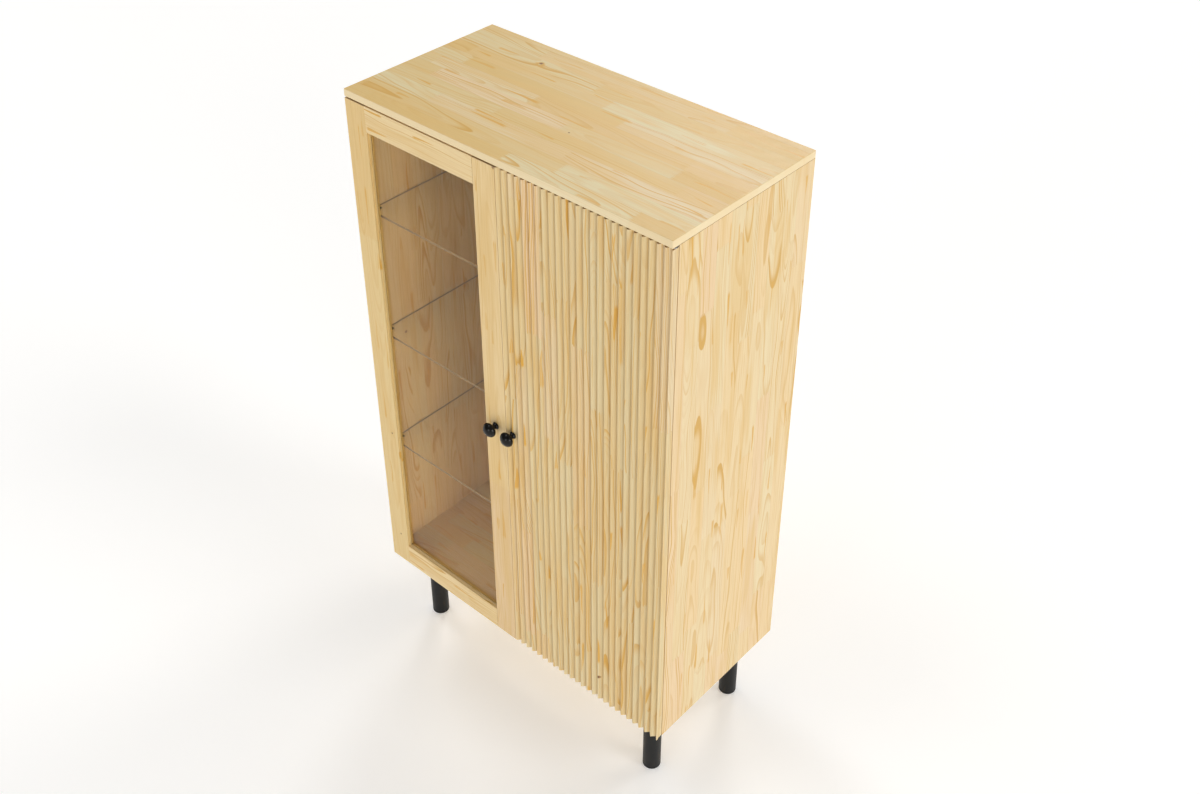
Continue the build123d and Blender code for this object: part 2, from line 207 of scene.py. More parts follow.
# Wood: which stave a point of a glued board lies in
def make_stave_group():
    g, given, result = new_group(
        "glued_staves",
        {"Vector": "vector", "Stave Width": "value", "Stave Length": "value", "Seed": "value"},
        {"Chance": "colour", "Second Chance": "colour", "Across": "value", "Joint": "value"},
    )
    along, across, _ = g.axes(given["Vector"])
    lane = g.calc("ADD", g.calc("DIVIDE", across, given["Stave Width"]), given["Seed"])
    row = g.calc("FLOOR", lane)
    local = g.calc("SUBTRACT", g.calc("FRACT", lane), 0.5)
    row_luck = g.channels(g.chance(g.vector(row, given["Seed"], 0.0)))[0]
    fold = g.calc("PINGPONG", across, FINGER_PITCH / 2)
    zigzag = g.calc("MULTIPLY", fold, 2 * FINGER_LENGTH / FINGER_PITCH)
    run = g.calc("DIVIDE", g.calc("ADD", along, zigzag), given["Stave Length"])
    place = g.calc("ADD", run, g.calc("MULTIPLY", row_luck, 61.0))
    cell = g.add("ShaderNodeTexVoronoi", {"W": place, "Scale": 1.0, "Randomness": 0.75},
                 voronoi_dimensions="1D")
    edge = g.add("ShaderNodeTexVoronoi", {"W": place, "Scale": 1.0, "Randomness": 0.75},
                 voronoi_dimensions="1D", feature="DISTANCE_TO_EDGE")
    cell_luck = g.channels(cell.outputs["Color"])[0]
    first = g.chance(g.vector(cell_luck, row, given["Seed"]))
    second = g.chance(g.vector(row, given["Seed"], g.calc("ADD", cell_luck, 5.0)))
    to_butt = g.calc("MULTIPLY", edge.outputs["Distance"], given["Stave Length"])
    to_side = g.calc("MULTIPLY", g.calc("SUBTRACT", 0.5, g.calc("ABSOLUTE", local)), given["Stave Width"])
    joint = g.ease(g.calc("MINIMUM", to_butt, to_side), 0.0, GLUE_LINE, 1.0, 0.0)
    g.feed(result["Chance"], first)
    g.feed(result["Second Chance"], second)
    g.feed(result["Across"], g.calc("MULTIPLY", local, given["Stave Width"]))
    g.feed(result["Joint"], joint)
    return g.tree


# Wood: small knots scattered over a board, as the distance to the nearest one
def make_knot_group():
    g, given, result = new_group(
        "pin_knots",
        {"Vector": "vector", "Spacing": "value", "Share": "value", "Seed": "value"},
        {"Distance": "value", "Chance": "value"},
    )
    along, across, _ = g.axes(given["Vector"])
    flat = g.vector(g.calc("DIVIDE", along, given["Spacing"]),
                    g.calc("ADD", g.calc("DIVIDE", across, given["Spacing"]), given["Seed"]), 0.0)
    cell = g.add("ShaderNodeTexVoronoi", {"Vector": flat, "Scale": 1.0, "Randomness": 0.9},
                 voronoi_dimensions="2D")
    luck = g.channels(cell.outputs["Color"])
    absent = g.calc("GREATER_THAN", luck[0], given["Share"])
    distance = g.calc("MULTIPLY", cell.outputs["Distance"], given["Spacing"])
    g.feed(result["Distance"], g.calc("ADD", distance, absent))
    g.feed(result["Chance"], luck[1])
    return g.tree


# Wood: growth rings of the log that each stave was sawn from
def make_ring_group():
    g, given, result = new_group(
        "growth_rings",
        {"Vector": "vector", "Across": "value", "Chance": "colour", "Second Chance": "colour",
         "Knot": "value"},
        {"Late Wood": "value", "Bold": "value", "Fibre": "value", "Line": "value", "Cloud": "value"},
    )
    along, across, through = g.axes(given["Vector"])
    side_luck, depth_luck, _ = g.channels(given["Chance"])[:3]
    taper_luck, pitch_luck, bold_luck = g.channels(given["Second Chance"])[:3]
    shift = g.vector(g.calc("MULTIPLY", side_luck, 9.0), g.calc("MULTIPLY", depth_luck, 7.0),
                     g.calc("MULTIPLY", bold_luck, 5.0))
    slow = g.vector(g.calc("MULTIPLY", along, 2.6), g.calc("MULTIPLY", across, 9.0), through)
    wander = g.add("ShaderNodeVectorMath", operation="ADD")
    g.feed(wander.inputs[0], slow)
    g.feed(wander.inputs[1], shift)
    sway = g.add("ShaderNodeTexNoise", {"Vector": wander.outputs[0], "Scale": 1.0, "Detail": 2.0,
                                        "Roughness": 0.45})
    sway_side, sway_depth, ripple = g.channels(sway.outputs["Color"])[:3]
    knot_push = g.calc("POWER", math.e, g.calc("MULTIPLY", given["Knot"], -1 / (7 * MM)))
    side = g.calc("ADD", given["Across"], g.spread(side_luck, -0.030, 0.030))
    side = g.calc("ADD", side, g.spread(sway_side, -0.020, 0.020))
    depth = g.calc("ADD", through, g.spread(depth_luck, 0.010, 0.065))
    depth = g.calc("ADD", depth, g.spread(sway_depth, -0.016, 0.016))
    radius = g.calc("SQRT", g.calc("ADD", g.calc("MULTIPLY", side, side), g.calc("MULTIPLY", depth, depth)))
    radius = g.calc("MULTIPLY_ADD", along, g.spread(taper_luck, -0.040, 0.040), radius)
    radius = g.calc("MULTIPLY_ADD", knot_push, 6 * MM, radius)
    radius = g.calc("MULTIPLY_ADD", ripple, 3 * MM, radius)
    turn = g.calc("DIVIDE", radius, g.spread(pitch_luck, 2.0 * MM, 4.8 * MM))
    year = g.calc("FLOOR", turn)
    part = g.calc("FRACT", turn)
    late = g.calc("MULTIPLY", g.ease(part, 0.35, 0.92), g.ease(part, 0.93, 1.0, 1.0, 0.0))
    year_luck = g.channels(g.chance(g.vector(year, bold_luck, side_luck)))[0]
    bold = g.calc("MULTIPLY", g.calc("POWER", year_luck, 2.6), g.spread(bold_luck, 0.25, 1.6))
    fine = g.vector(g.calc("MULTIPLY", along, 12.0), g.calc("MULTIPLY", across, 900.0),
                    g.calc("MULTIPLY", through, 900.0))
    thin = g.vector(g.calc("MULTIPLY", along, 5.0), g.calc("MULTIPLY", across, 300.0),
                    g.calc("MULTIPLY", through, 300.0))
    broad = g.vector(g.calc("MULTIPLY", along, 3.0), g.calc("MULTIPLY", across, 30.0),
                     g.calc("MULTIPLY", through, 30.0))
    g.feed(result["Late Wood"], late)
    g.feed(result["Bold"], bold)
    g.feed(result["Fibre"], g.noise(fine, 1.0, 3.0, 0.6))
    g.feed(result["Line"], g.noise(thin, 1.0, 2.0, 0.5))
    g.feed(result["Cloud"], g.noise(broad, 1.0, 2.0, 0.5))
    return g.tree


# Wood: slender golden streaks, pointed at one end and blunt at the other
def make_streak_group():
    g, given, result = new_group(
        "resin_streaks",
        {"Vector": "vector", "Share": "value", "Seed": "value"},
        {"Streak": "value"},
    )
    along, across, _ = g.axes(given["Vector"])
    drift = g.noise(g.vector(g.calc("MULTIPLY", along, 9.0), g.calc("MULTIPLY", across, 30.0),
                             given["Seed"]), 1.0, 1.0)
    across = g.calc("MULTIPLY_ADD", drift, 14 * MM, across)
    flat = g.vector(g.calc("DIVIDE", along, STREAK_SPACING),
                    g.calc("ADD", g.calc("DIVIDE", across, STREAK_LANE), given["Seed"]), 0.0)
    cell = g.add("ShaderNodeTexVoronoi", {"Vector": flat, "Scale": 1.0, "Randomness": 0.8},
                 voronoi_dimensions="2D")
    chance, hand, size = g.channels(cell.outputs["Color"])[:3]
    offset = g.add("ShaderNodeVectorMath", operation="SUBTRACT")
    g.feed(offset.inputs[0], flat)
    g.feed(offset.inputs[1], cell.outputs["Position"])
    run, aside, _ = g.axes(offset.outputs[0])
    run = g.calc("MULTIPLY", run, g.calc("SIGN", g.calc("SUBTRACT", hand, 0.5)))
    run = g.calc("ADD", g.calc("DIVIDE", run, g.spread(size, 0.22, 0.62)), 0.5)
    broad = g.spread(g.calc("DIVIDE", chance, given["Share"]), 0.05, 0.15)
    half = g.calc("MULTIPLY", g.calc("POWER", g.calc("MAXIMUM", run, 0.0), 0.7), broad)
    aside = g.calc("DIVIDE", g.calc("ABSOLUTE", aside), g.calc("MAXIMUM", half, 0.001))
    body = g.ease(aside, 0.55, 1.25, 1.0, 0.0)
    hollow = g.ease(aside, 0.15, 0.75, g.calc("FRACT", g.calc("MULTIPLY", size, 7.0)), 1.0)
    ends = g.calc("MULTIPLY", g.ease(run, 0.0, 0.15), g.ease(run, 0.85, 1.0, 1.0, 0.0))
    streak = g.calc("MULTIPLY", g.calc("MULTIPLY", body, hollow), ends)
    present = g.calc("LESS_THAN", chance, given["Share"])
    g.feed(result["Streak"], g.calc("MULTIPLY", streak, present))
    return g.tree


# Wood: the colours of its parts
ROSY_STAVE = (0.88, 0.65, 0.42, 1.0)
SOFT_BAND = (0.80, 0.53, 0.19, 1.0)
THIN_LINE = (0.76, 0.50, 0.17, 1.0)
LATE_WOOD = (0.70, 0.40, 0.08, 1.0)
DARK_FIBRE = (0.62, 0.43, 0.20, 1.0)
RESIN = (0.74, 0.40, 0.055, 1.0)
GLUE = (0.40, 0.22, 0.08, 1.0)
KNOT_RIM = (0.36, 0.15, 0.035, 1.0)
KNOT_CORE = (0.16, 0.06, 0.02, 1.0)
# End grain: its real darker tone, deepened as painted shade
END_GRAIN_AND_SHADE = (0.36, 0.20, 0.08, 1.0)
# Painted shade for the floors of the ribs' grooves
GROOVE_PAINTED_SHADE = (0.33, 0.19, 0.07, 1.0)
# Worn edges with a painted highlight
PALE_WEAR_AND_HIGHLIGHT = (0.96, 0.80, 0.51, 1.0)


# Wood: the colour, sheen and relief that the rings and knots give under clear lacquer
def make_pine_group():
    g, given, result = new_group(
        "lacquered_pine",
        {"Chance": "colour", "Late Wood": "value", "Bold": "value", "Fibre": "value", "Line": "value",
         "Cloud": "value", "Streak": "value", "Joint": "value", "Knot": "value", "Knot Chance": "value",
         "End": "value", "Wear And Highlight": "value", "Groove Shade": "value", "Sapwood": "colour", "Heartwood": "colour"},
        {"Color": "colour", "Roughness": "value", "Height": "value"},
    )
    luck = g.channels(given["Chance"])
    tone = g.tint(g.ease(luck[2], 0.1, 0.95), given["Sapwood"], given["Heartwood"])
    tone = g.tint(g.ease(luck[0], 0.60, 1.0, 0.0, 0.60), tone, ROSY_STAVE)
    cloud = g.ease(given["Cloud"], 0.50, 0.68, 0.0, 0.55)
    tone = g.tint(cloud, tone, SOFT_BAND)
    tone = g.tint(g.ease(given["Line"], 0.50, 0.66, 0.0, 0.42), tone, THIN_LINE)
    rings = g.calc("MULTIPLY", given["Late Wood"], g.calc("MULTIPLY_ADD", given["Bold"], 1.0, 0.09))
    tone = g.tint(rings, tone, LATE_WOOD)
    tone = g.tint(g.ease(given["Fibre"], 0.35, 0.8, 0.0, 0.22), tone, DARK_FIBRE)
    tone = g.tint(given["Streak"], tone, RESIN)
    tone = g.tint(g.calc("MULTIPLY", given["Joint"], 0.28), tone, GLUE)
    core = g.spread(given["Knot Chance"], 1.2 * MM, 3.6 * MM)
    rim = g.calc("MULTIPLY", core, 1.9)
    tone = g.tint(g.ease(given["Knot"], core, rim, 0.75, 0.0), tone, KNOT_RIM)
    heart = g.calc("MULTIPLY", core, 0.5)
    tone = g.tint(g.ease(given["Knot"], heart, core, 0.9, 0.0), tone, KNOT_CORE)
    # End-grain faces darker: the real end grain, and painted shade
    tone = g.tint(given["End"], tone, END_GRAIN_AND_SHADE)
    # Painted shade towards the floors of the ribs' grooves
    tone = g.tint(given["Groove Shade"], tone, GROOVE_PAINTED_SHADE)
    # Worn edges with a painted highlight, and painted light on the top's edge faces
    tone = g.tint(given["Wear And Highlight"], tone, PALE_WEAR_AND_HIGHLIGHT)
    rough = g.calc("MULTIPLY_ADD", given["Fibre"], 0.16, 0.34)
    rough = g.calc("MULTIPLY_ADD", given["Late Wood"], -0.05, rough)
    rough = g.calc("MULTIPLY_ADD", given["End"], 0.18, rough)
    height = g.calc("MULTIPLY_ADD", given["Late Wood"], 0.35, g.calc("MULTIPLY", given["Fibre"], 0.45))
    height = g.calc("MULTIPLY_ADD", given["Joint"], -0.6, height)
    g.feed(result["Color"], tone)
    g.feed(result["Roughness"], rough)
    g.feed(result["Height"], height)
    return g.tree


# Worn edges and painted highlight: a mask that rises towards the edges of a box of the given half size
def make_edge_group():
    g, given, result = new_group(
        "eased_edges",
        {"Vector": "vector", "Half Size": "vector", "Reach": "value"},
        {"Edge": "value"},
    )
    gaps = [g.calc("SUBTRACT", half, g.calc("ABSOLUTE", place))
            for place, half in zip(g.axes(given["Vector"]), g.axes(given["Half Size"]))]
    low = g.calc("MINIMUM", gaps[0], gaps[1])
    high = g.calc("MAXIMUM", gaps[0], gaps[1])
    second = g.calc("MAXIMUM", low, g.calc("MINIMUM", high, gaps[2]))
    ragged = g.calc("MULTIPLY_ADD", g.noise(given["Vector"], 45.0, 3.0), given["Reach"], second)
    limit = g.calc("MULTIPLY", given["Reach"], 1.6)
    g.feed(result["Edge"], g.ease(ragged, g.calc("MULTIPLY", given["Reach"], 0.5), limit, 1.0, 0.0))
    return g.tree


# Metal and plastic: cloudy tone and fine grain
def make_coat_group():
    g, given, result = new_group(
        "fine_coat",
        {"Vector": "vector", "Base": "colour", "Rubbed": "colour", "Grain Scale": "value",
         "Roughness": "value", "Spread": "value"},
        {"Color": "colour", "Roughness": "value", "Height": "value"},
    )
    grain = g.noise(given["Vector"], given["Grain Scale"], 3.0, 0.6)
    cloud = g.noise(given["Vector"], 28.0, 3.0, 0.55)
    g.feed(result["Color"], g.tint(g.ease(cloud, 0.35, 0.75), given["Base"], given["Rubbed"]))
    rough = g.calc("MULTIPLY_ADD", g.calc("SUBTRACT", cloud, 0.5), given["Spread"], given["Roughness"])
    rough = g.calc("MULTIPLY_ADD", g.calc("SUBTRACT", grain, 0.5), 0.10, rough)
    g.feed(result["Roughness"], rough)
    g.feed(result["Height"], grain)
    return g.tree


STAVES = make_stave_group()
KNOTS = make_knot_group()
RINGS = make_ring_group()
STREAKS = make_streak_group()
PINE = make_pine_group()
EDGES = make_edge_group()
COAT = make_coat_group()


def new_material(name):
    """A material with its Principled BSDF and output, and nothing else."""
    material = bpy.data.materials.new(name)
    material.use_nodes = True
    material.node_tree.nodes.clear()
    g = Graph(material.node_tree)
    shader = g.add("ShaderNodeBsdfPrincipled")
    out = g.add("ShaderNodeOutputMaterial")
    g.feed(out.inputs["Surface"], shader.outputs["BSDF"])
    return material, g, shader, out


def lay_relief(g, shader, height, depth):
    bump = g.add("ShaderNodeBump", {"Strength": 1.0, "Distance": depth, "Height": height})
    g.feed(shader.inputs["Normal"], bump.outputs["Normal"])


AXIS_NUMBER = {"X": 0, "Y": 1, "Z": 2}

# Sapwood and heartwood of the boards
PALE = ((0.785, 0.665, 0.38, 1.0), (0.82, 0.59, 0.25, 1.0))
WARM = ((0.865, 0.71, 0.43, 1.0), (0.885, 0.665, 0.365, 1.0))
HONEY = ((0.85, 0.63, 0.29, 1.0), (0.83, 0.57, 0.225, 1.0))
GOLDEN = ((0.90, 0.67, 0.34, 1.0), (0.86, 0.60, 0.26, 1.0))
CREAM = ((0.92, 0.71, 0.385, 1.0), (0.90, 0.67, 0.33, 1.0))
AMBER = ((0.80, 0.68, 0.40, 1.0), (0.77, 0.525, 0.19, 1.0))
STRAW = ((0.80, 0.67, 0.40, 1.0), (0.81, 0.64, 0.345, 1.0))

# Boards with more soft bands than the rest, the painted shade in the ribs' grooves, how ends are darkened
# as end grain and painted shade, and the painted light on the top's rim
FIGURED = {"glass_door_meeting_stile": 0.09, "top_panel": 0.07}
GROOVE_DEPTH = 8 * MM
GROOVE_SHADE = 0.15
END_SHADE = 0.75
RIM_LIGHT = 0.75
KNOT_SPACING = 300 * MM
WEAR_AND_HIGHLIGHT_REACH = 2.5 * MM
WOOD_RELIEF = 0.12 * MM


def pine(node, grain, wide, seed, tones, single):
    """Pine for one board: grain and wide name the axes along the grain and across the staves."""
    end_shade, rim = (0.0, RIM_LIGHT) if node == "top_panel" else (END_SHADE, 0.0)
    low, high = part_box(node)
    middle = (low + high) / 2
    half = (high - low) / 2
    material, g, shader, _ = new_material(f"pine_{node}")
    place = g.add("ShaderNodeTexCoord").outputs
    board = g.add("ShaderNodeVectorMath", operation="SUBTRACT")
    g.feed(board.inputs[0], place["Object"])
    board.inputs[1].default_value = middle
    parts = g.axes(board.outputs[0])
    order = [AXIS_NUMBER[grain], AXIS_NUMBER[wide]]
    order.append(3 - sum(order))
    log = g.vector(*[parts[n] for n in order])
    width = 10.0 if single else STAVE_WIDTH
    staves = g.group(STAVES, {"Vector": log, "Stave Width": width, "Seed": seed,
                              "Stave Length": STAVE_LENGTH * (2.2 if single else 1.0)})
    across = g.axes(log)[1] if single else staves["Across"]
    knots = g.group(KNOTS, {"Vector": log, "Spacing": KNOT_SPACING, "Share": 0.35, "Seed": seed})
    rings = g.group(RINGS, {"Vector": log, "Across": across, "Chance": staves["Chance"],
                            "Second Chance": staves["Second Chance"], "Knot": knots["Distance"]})
    streaks = g.group(STREAKS, {"Vector": log, "Share": 0.65 if single else 0.46, "Seed": seed})
    edges = g.group(EDGES, {"Vector": board.outputs[0], "Half Size": half, "Reach": WEAR_AND_HIGHLIGHT_REACH})
    facing = [g.calc("ABSOLUTE", part) for part in g.axes(place["Normal"])]
    # End-grain faces are darkened: the real darker end grain, and painted shade
    end = g.ease(facing[order[0]], 0.6, 0.8, 0.0, end_shade)
    # Worn edges with a painted highlight along them
    wear_and_highlight = g.calc("MULTIPLY", edges["Edge"], 0.30)
    # On the top panel its edge faces are painted lighter: painted light
    if rim:
        wear_and_highlight = g.calc("MAXIMUM", wear_and_highlight, g.ease(facing[order[2]], 0.3, 0.9, rim, 0.0))
    groove_shade = 0.0
    # Painted shade towards the floor of each of the ribs' grooves
    if node == "ribbed_door_panel":
        depth = g.calc("SUBTRACT", g.axes(place["Object"])[1], low.y)
        deep = g.ease(depth, 0.80 * GROOVE_DEPTH, GROOVE_DEPTH, 0.0, GROOVE_SHADE)
        groove_shade = g.calc("MULTIPLY", deep, g.calc("LESS_THAN", depth, 1.1 * GROOVE_DEPTH))
    wood = g.group(PINE, {
        "Chance": staves["Chance"], "Late Wood": rings["Late Wood"], "Bold": rings["Bold"],
        "Fibre": rings["Fibre"], "Line": rings["Line"],
        "Cloud": g.calc("ADD", rings["Cloud"], FIGURED.get(node, 0.0)),
        "Streak": streaks["Streak"], "Joint": staves["Joint"], "Knot": knots["Distance"],
        "Knot Chance": knots["Chance"], "End": end, "Wear And Highlight": wear_and_highlight, "Groove Shade": groove_shade,
        "Sapwood": tones[0], "Heartwood": tones[1],
    })
    g.feed(shader.inputs["Base Color"], wood["Color"])
    g.feed(shader.inputs["Roughness"], wood["Roughness"])
    shader.inputs["Specular IOR Level"].default_value = 0.35
    lay_relief(g, shader, wood["Height"], WOOD_RELIEF)
    return material


COAT_GRAIN = 900.0
COAT_SPREAD = 0.15
COAT_RELIEF = 0.02 * MM


def coated(name, base, rubbed, roughness, metal=0.0):
    """A metal or plastic finish from the fine coat group."""
    material, g, shader, _ = new_material(name)
    place = g.add("ShaderNodeTexCoord").outputs["Object"]
    coat = g.group(COAT, {"Vector": place, "Base": base, "Rubbed": rubbed, "Grain Scale": COAT_GRAIN,
                          "Roughness": roughness, "Spread": COAT_SPREAD})
    g.feed(shader.inputs["Base Color"], coat["Color"])
    g.feed(shader.inputs["Roughness"], coat["Roughness"])
    shader.inputs["Metallic"].default_value = metal
    lay_relief(g, shader, coat["Height"], COAT_RELIEF)
    return material


def glass(name, tint, lamp_tint, roughness, bend):
    """Glass that lets lamps through: its faint smears and dust only change its gloss."""
    material, g, shader, out = new_material(name)
    place = g.add("ShaderNodeTexCoord").outputs["Object"]
    smear = g.noise(place, 7.0, 4.0, 0.6)
    g.feed(shader.inputs["Roughness"], g.ease(smear, 0.35, 0.8, roughness, roughness * 3))
    shader.inputs["Base Color"].default_value = tint
    shader.inputs["Transmission Weight"].default_value = 1.0
    shader.inputs["IOR"].default_value = bend
    lamps = g.add("ShaderNodeBsdfTransparent", {"Color": lamp_tint})
    path = g.add("ShaderNodeLightPath").outputs["Is Shadow Ray"]
    mixed = g.add("ShaderNodeMixShader")
    for socket, value in zip(mixed.inputs, (path, shader.outputs["BSDF"], lamps.outputs["BSDF"])):
        g.feed(socket, value)
    g.feed(out.inputs["Surface"], mixed.outputs["Shader"])
    return material


def dress(node, material):
    """Gives a CAD node its material, through the node's own slots."""
    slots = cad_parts[node].data.materials
    if not slots:
        slots.append(material)
    for index in range(len(slots)):
        slots[index] = material


# Studio
def place_camera():
    data = bpy.data.cameras.new("photo_camera")
    data.lens = CAMERA_LENS
    data.shift_x, data.shift_y = CAMERA_SHIFT
    data.clip_end = 200.0
    camera = bpy.data.objects.new("photo_camera", data)
    camera.location = CAMERA_PLACE
    camera.rotation_euler = [math.radians(angle) for angle in CAMERA_TURN]
    bpy.context.scene.collection.objects.link(camera)
    bpy.context.scene.camera = camera


def light_studio():
    for name, (azimuth, elevation, strength) in LIGHT_RING.items():
        turn, rise = math.radians(azimuth), math.radians(elevation)
        away = Vector((math.cos(turn) * math.cos(rise), math.sin(turn) * math.cos(rise), math.sin(rise)))
        data = bpy.data.lights.new(f"soft_{name}", "SUN")
        data.angle = math.radians(LIGHT_SPREAD)
        data.energy = strength
        lamp = bpy.data.objects.new(f"soft_{name}", data)
        lamp.rotation_euler = away.to_track_quat("Z", "Y").to_euler()
        bpy.context.scene.collection.objects.link(lamp)
    world = bpy.data.worlds.new("pale_studio")
    world.use_nodes = True
    world.node_tree.nodes.clear()
    g = Graph(world.node_tree)
    seen = g.add("ShaderNodeLightPath").outputs["Is Camera Ray"]
    strength = g.calc("MULTIPLY_ADD", seen, 1.0 - SKY_STRENGTH, SKY_STRENGTH)
    sky = g.add("ShaderNodeBackground", {"Color": (1.0, 0.995, 0.985, 1.0), "Strength": strength})
    out = g.add("ShaderNodeOutputWorld")
    g.feed(out.inputs["Surface"], sky.outputs["Background"])
    bpy.context.scene.world = world
    bpy.context.scene.view_settings.view_transform = "Standard"


def lay_floor():
    bpy.ops.object.select_all(action="DESELECT")
    bpy.ops.mesh.primitive_plane_add(size=2 * FLOOR_HALF)
    floor = bpy.context.object
    floor.name = "studio_floor"
    material, g, shader, _ = new_material("pale_floor")
    place = g.add("ShaderNodeTexCoord").outputs["Object"]
    cloud = g.noise(place, 0.8, 2.0)
    g.feed(shader.inputs["Base Color"], g.tint(cloud, (0.86, 0.855, 0.845, 1.0), (0.88, 0.875, 0.865, 1.0)))
    shader.inputs["Roughness"].default_value = 0.7
    shader.inputs["Emission Color"].default_value = (1.0, 0.990, 0.975, 1.0)
    shader.inputs["Emission Strength"].default_value = FLOOR_GLOW
    floor.data.materials.append(material)


def dress_boards():
    """Dresses each board: the axis along its grain, the axis across its staves, a seed and its tones."""
    staved = {
        "top_panel": ("X", "Y", 1.3, AMBER),
        "left_side_panel": ("Z", "Y", 7.1, WARM),
        "right_side_panel": ("Z", "Y", 24.3, WARM),
        "bottom_panel": ("X", "Y", 5.9, PALE),
        "centre_partition": ("Z", "Y", 9.4, PALE),
        "back_panel": ("Z", "X", 2.2, PALE),
        "wood_shelf_lower": ("X", "Y", 4.5, PALE),
        "wood_shelf_middle": ("X", "Y", 6.3, PALE),
        "wood_shelf_upper": ("X", "Y", 8.8, PALE),
        "ribbed_door_panel": ("Z", "X", 19.6, STRAW),
    }
    whole = {
        "glass_door_hinge_stile": ("Z", "X", 11.2, HONEY),
        "glass_door_meeting_stile": ("Z", "X", 12.6, GOLDEN),
        "glass_door_top_rail": ("X", "Z", 13.4, CREAM),
        "glass_door_bottom_rail": ("X", "Z", 14.9, CREAM),
        "glass_door_bead_left": ("Z", "X", 15.1, HONEY),
        "glass_door_bead_right": ("Z", "X", 16.8, GOLDEN),
        "glass_door_bead_top": ("X", "Z", 17.3, CREAM),
        "glass_door_bead_bottom": ("X", "Z", 18.7, CREAM),
    }
    for boards, single in ((staved, False), (whole, True)):
        for node, (grain, wide, seed, tones) in boards.items():
            dress(node, pine(node, grain, wide, seed, tones, single))


# Modelling: how the hardware is shaped by hand
def only(piece):
    """Makes a piece the one that is active and selected."""
    if bpy.context.object and bpy.context.object.mode != "OBJECT":
        bpy.ops.object.mode_set(mode="OBJECT")
    bpy.ops.object.select_all(action="DESELECT")
    piece.select_set(True)
    bpy.context.view_layer.objects.active = piece


def settle(piece, smooth=ROUND):
    """Applies a piece's place and turn to its mesh, and smooths edges flatter than an angle."""
    only(piece)
    bpy.ops.object.transform_apply(location=True, rotation=True, scale=True)
    bpy.ops.object.shade_smooth_by_angle(angle=math.radians(smooth))
    return piece


def finish_with(piece, kind, **settings):
    """Adds a modifier and applies it."""
    only(piece)
    modifier = piece.modifiers.new(kind.lower(), kind)
    for key, value in settings.items():
        setattr(modifier, key, value)
    bpy.ops.object.modifier_apply(modifier=modifier.name)
    return piece


def round_edges(piece, width, segments=3):
    return finish_with(piece, "BEVEL", width=width, segments=segments, limit_method="ANGLE",
                       angle_limit=math.radians(BEVELLED_FROM))


def turned(name, start, direction, rings, sides=KNOB_SIDES):
    """A turned part: a disc drawn out along its axis, through rings of (distance, radius)."""
    bpy.ops.object.select_all(action="DESELECT")
    bpy.ops.mesh.primitive_circle_add(vertices=sides, radius=rings[0][1], fill_type="NGON",
                                      location=(0.0, 0.0, rings[0][0]))
    piece = bpy.context.object
    piece.name = name
    bpy.ops.object.transform_apply(location=True)
    bpy.ops.object.mode_set(mode="EDIT")
    bpy.ops.mesh.select_mode(type="FACE")
    bpy.ops.mesh.select_all(action="SELECT")
    for (height, radius), (next_height, next_radius) in zip(rings, rings[1:]):
        centre = (0.0, 0.0, next_height)
        bpy.ops.mesh.extrude_region_move(
            TRANSFORM_OT_translate={"value": (0.0, 0.0, next_height - height)})
        if next_radius == 0.0:
            bpy.ops.mesh.merge(type="CENTER")
        else:
            share = next_radius / radius
            bpy.ops.transform.resize(value=(share, share, 1.0), center_override=centre)
    bpy.ops.mesh.select_all(action="SELECT")
    bpy.ops.mesh.normals_make_consistent(inside=False)
    bpy.ops.object.mode_set(mode="OBJECT")
    piece.location = start
    piece.rotation_euler = Vector(direction).to_track_quat("Z", "Y").to_euler()
    return settle(piece)


def sawn(name, low, high):
    """A rectangular blank between two corners."""
    bpy.ops.object.select_all(action="DESELECT")
    bpy.ops.mesh.primitive_cube_add(size=1.0, location=(Vector(low) + Vector(high)) / 2)
    piece = bpy.context.object
    piece.name = name
    piece.scale = Vector(high) - Vector(low)
    bpy.ops.object.transform_apply(location=True, rotation=True, scale=True)
    return piece


def cast_from(node, name, width, smooth=SOFT):
    """A copy of a CAD node with its triangles merged and its edges rounded."""
    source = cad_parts[node]
    piece = bpy.data.objects.new(name, source.data.copy())
    bpy.context.scene.collection.objects.link(piece)
    only(piece)
    bpy.ops.object.mode_set(mode="EDIT")
    bpy.ops.mesh.select_all(action="SELECT")
    bpy.ops.mesh.remove_doubles(threshold=0.01 * MM)
    bpy.ops.mesh.dissolve_limited(angle_limit=math.radians(1.0))
    bpy.ops.object.mode_set(mode="OBJECT")
    round_edges(piece, width, 2)
    return settle(piece, smooth)


def joined(name, pieces):
    """Several solids as one piece under one name."""
    only(pieces[0])
    for piece in pieces:
        piece.select_set(True)
    bpy.ops.object.join()
    bpy.context.object.name = name
    return bpy.context.object


def keep(piece, body, material, slot, *nodes):
    """Puts a piece on its body, in its finish, in place of CAD nodes where any are named."""
    piece.data.materials.clear()
    piece.data.materials.append(material)
    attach(piece, body)
    if nodes:
        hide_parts(*nodes)


def arc_rings(centre_height, centre_radius, radius, first, last, steps):
    """Rings along an arc seen from the side, from one angle to the other in degrees."""
    rings = []
    for step in range(steps + 1):
        angle = math.radians(first + (last - first) * step / steps)
        rings.append((centre_height + radius * math.sin(angle), centre_radius + radius * math.cos(angle)))
    return rings


